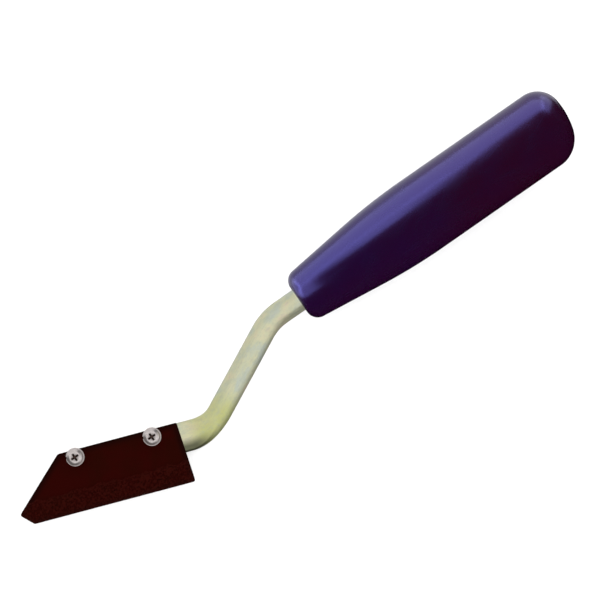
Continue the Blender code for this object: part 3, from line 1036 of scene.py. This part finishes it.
def buildWasher(name):
    bm = bmesh.new()
    bmesh.ops.create_grid(bm, x_segments=1, y_segments=1, size=0.5)
    wide = washer["outerRadius"] - washer["innerRadius"]
    bmesh.ops.scale(bm, verts=bm.verts, vec=(wide, washer["thickness"], 1))
    rotateAll(bm, math.pi / 2, "X")
    middle = (washer["outerRadius"] + washer["innerRadius"]) / 2
    lift = (washer["thickness"] - washer["spring"]) / 2
    bmesh.ops.translate(bm, verts=bm.verts, vec=(middle, 0, lift))
    slit = 2 * math.asin(washer["slit"] / 2 / middle)
    bmesh.ops.spin(
        bm,
        geom=bm.faces[:],
        cent=(0, 0, 0),
        axis=(0, 0, 1),
        angle=math.tau - slit,
        dvec=(0, 0, washer["spring"] / washer["sides"]),
        steps=washer["sides"],
    )
    piece = makeObject(bm, name, washer["smoothTo"])
    easeEdges(piece, washer["edge"])
    return piece


print("screws and washers")
metals = [bentRod]
for side, place in screwPlaces.items():
    head = bladeFrame @ Matrix.Translation((place, screw["inset"], screw["seatHeight"]))
    steel = brightSteel(side + "ScrewSteel", place, screw["seatHeight"])
    bladeScrew = buildScrew(side + "BladeScrew")
    fit(bladeScrew, head, side + "_screw", side + "_blade_screw", steel)
    seat = bladeFrame @ Matrix.Translation((place, screw["inset"], washer["height"]))
    spring = brightSteel(side + "WasherSteel", place, washer["height"])
    lockWasher = buildWasher(side + "LockWasher")
    fit(lockWasher, seat, side + "_washer", side + "_lock_washer", spring)
    metals += [bladeScrew, lockWasher]

# floor, lights and camera

view = {
    "distance": 1.4,
    "across": 0.2,  # how much of the level plane fits in the picture
    "middle": (0.0003, -0.00027),
    "roll": -34.85,
    "sensor": 36,
    "reach": 20,
}

studio = {
    "dome": 1.0,
    "floorReach": 3,
    "floorTone": 0.8,
    "floorFleck": 0.98,
    "gives": {"floor": "colour", "handle": "shine", "blade": "both", "metal": "both"},
}

# lean is the angle from straight up to the lit side of the tool, swing the one to the butt
lights = {  # what it lights, radiance, lean, spread and what differs from a usual softbox
    "floorWash": ("floor", 1.35, 0, 90, {}),
    "handleKey": ("handle", 2.25, 76, 50, {}),
    "handleNear": ("handle", 2.25, 45, 13, {"length": 0.118, "distance": 0.15, "along": 0.026}),
    "handleNearMiddle": ("handle", 2.25, 32, 13, {"length": 0.074, "distance": 0.15, "along": 0.025}),
    "handleNose": ("handle", 1.7, 46, 18, {"swing": -52, "length": 1.1}),
    "handleNoseNear": ("handle", 1.7, 16, 46, {"length": 0.06, "distance": 0.03, "along": -0.027}),
    "handleNoseSide": ("handle", 1.7, 85, 64, {"swing": -58, "length": 0.9}),
    "handleButt": ("handle", 1.6, 92, 54, {"swing": 56, "length": 0.35}),
    "handleRim": ("handle", 0.85, 136, 76, {}),
    "bladeKey": ("blade", 0.8, 62, 40, {}),
    "bladeFar": ("blade", 0.8, -82, 30, {}),
    "metalTop": ("metal", 0.66, -12, 90, {}),
    "metalLit": ("metal", 0.56, 68, 72, {}),
    "metalLitRim": ("metal", 0.6, 130, 50, {}),
    "metalFar": ("metal", 0.5, -76, 46, {"swing": 48}),
    "metalFarRim": ("metal", 0.2, -125, 50, {"swing": 30}),
}


def buildFloor():
    bm = bmesh.new()
    bmesh.ops.create_grid(bm, x_segments=1, y_segments=1, size=studio["floorReach"])
    floor = makeObject(bm, "floor")
    material, tree, shader = newFinish("paleFloor", Roughness=0.9)
    here = addNode(tree, "ShaderNodeTexCoord", {}, {}, "Object")
    paper = noiseOf(tree, here, 0.002, 3, 0.5)
    tone = studio["floorTone"]
    fleck = tone * studio["floorFleck"]
    colour = blendColours(tree, paper.ramp(0.3, 0.7), (tone, tone, tone, 1), (fleck, fleck, fleck, 1))
    feed(tree, shader, Base_Color=colour)
    floor.data.materials.append(material)
    floor.visible_glossy = False
    return floor


def softbox(name, pieces, gives, radiance, lean, spread, swing=0, length=1.8, distance=0.8, along=0.02):
    light = bpy.data.lights.new(name, "AREA")
    light.shape = "RECTANGLE"
    light.size = length
    light.size_y = 2 * distance * math.tan(turned(spread / 2))
    light.energy = radiance * math.pi * light.size * light.size_y
    lamp = bpy.data.objects.new(name, light)
    bpy.context.scene.collection.objects.link(lamp)
    tilt = Matrix.Rotation(-turned(lean), 4, "X") @ Matrix.Rotation(turned(swing), 4, "Y")
    middle = levelFrame @ Matrix.Translation((along, 0, 0))
    lamp.matrix_world = middle @ tilt @ Matrix.Translation((0, 0, distance))
    lamp.visible_glossy = gives != "colour"
    lamp.visible_diffuse = gives != "shine"
    lamp.visible_camera = False
    receivers = bpy.data.collections.new(name + "Receivers")
    for piece in pieces:
        receivers.objects.link(piece)
    lamp.light_linking.receiver_collection = receivers
    lamp.light_linking.blocker_collection = receivers


def lightDome():
    world = bpy.data.worlds.new("studio")
    bpy.context.scene.world = world
    world.use_nodes = True
    background = world.node_tree.nodes["Background"]
    background.inputs["Color"].default_value = (1, 1, 1, 1)
    background.inputs["Strength"].default_value = studio["dome"]
    world.cycles_visibility.glossy = False


def placeCamera():
    roll = Matrix.Rotation(turned(view["roll"]), 4, "Z")
    spot = Matrix.Translation((*view["middle"], view["distance"]))
    camera = bpy.data.cameras.new("camera")
    camera.sensor_width = view["sensor"]
    camera.lens = view["sensor"] * view["distance"] / view["across"]
    camera.clip_end = view["reach"]
    shooter = bpy.data.objects.new("camera", camera)
    bpy.context.scene.collection.objects.link(shooter)
    shooter.matrix_world = levelFrame @ spot @ roll
    bpy.context.scene.camera = shooter


print("studio")
floor = buildFloor()
placeCamera()
lightDome()
bpy.context.scene.view_settings.view_transform = "Standard"
lit = {"floor": [floor], "handle": [grip], "blade": [bladePlate, gritCoat], "metal": metals}
for name, (group, radiance, lean, spread, changes) in lights.items():
    softbox(name, lit[group], studio["gives"][group], radiance, lean, spread, **changes)
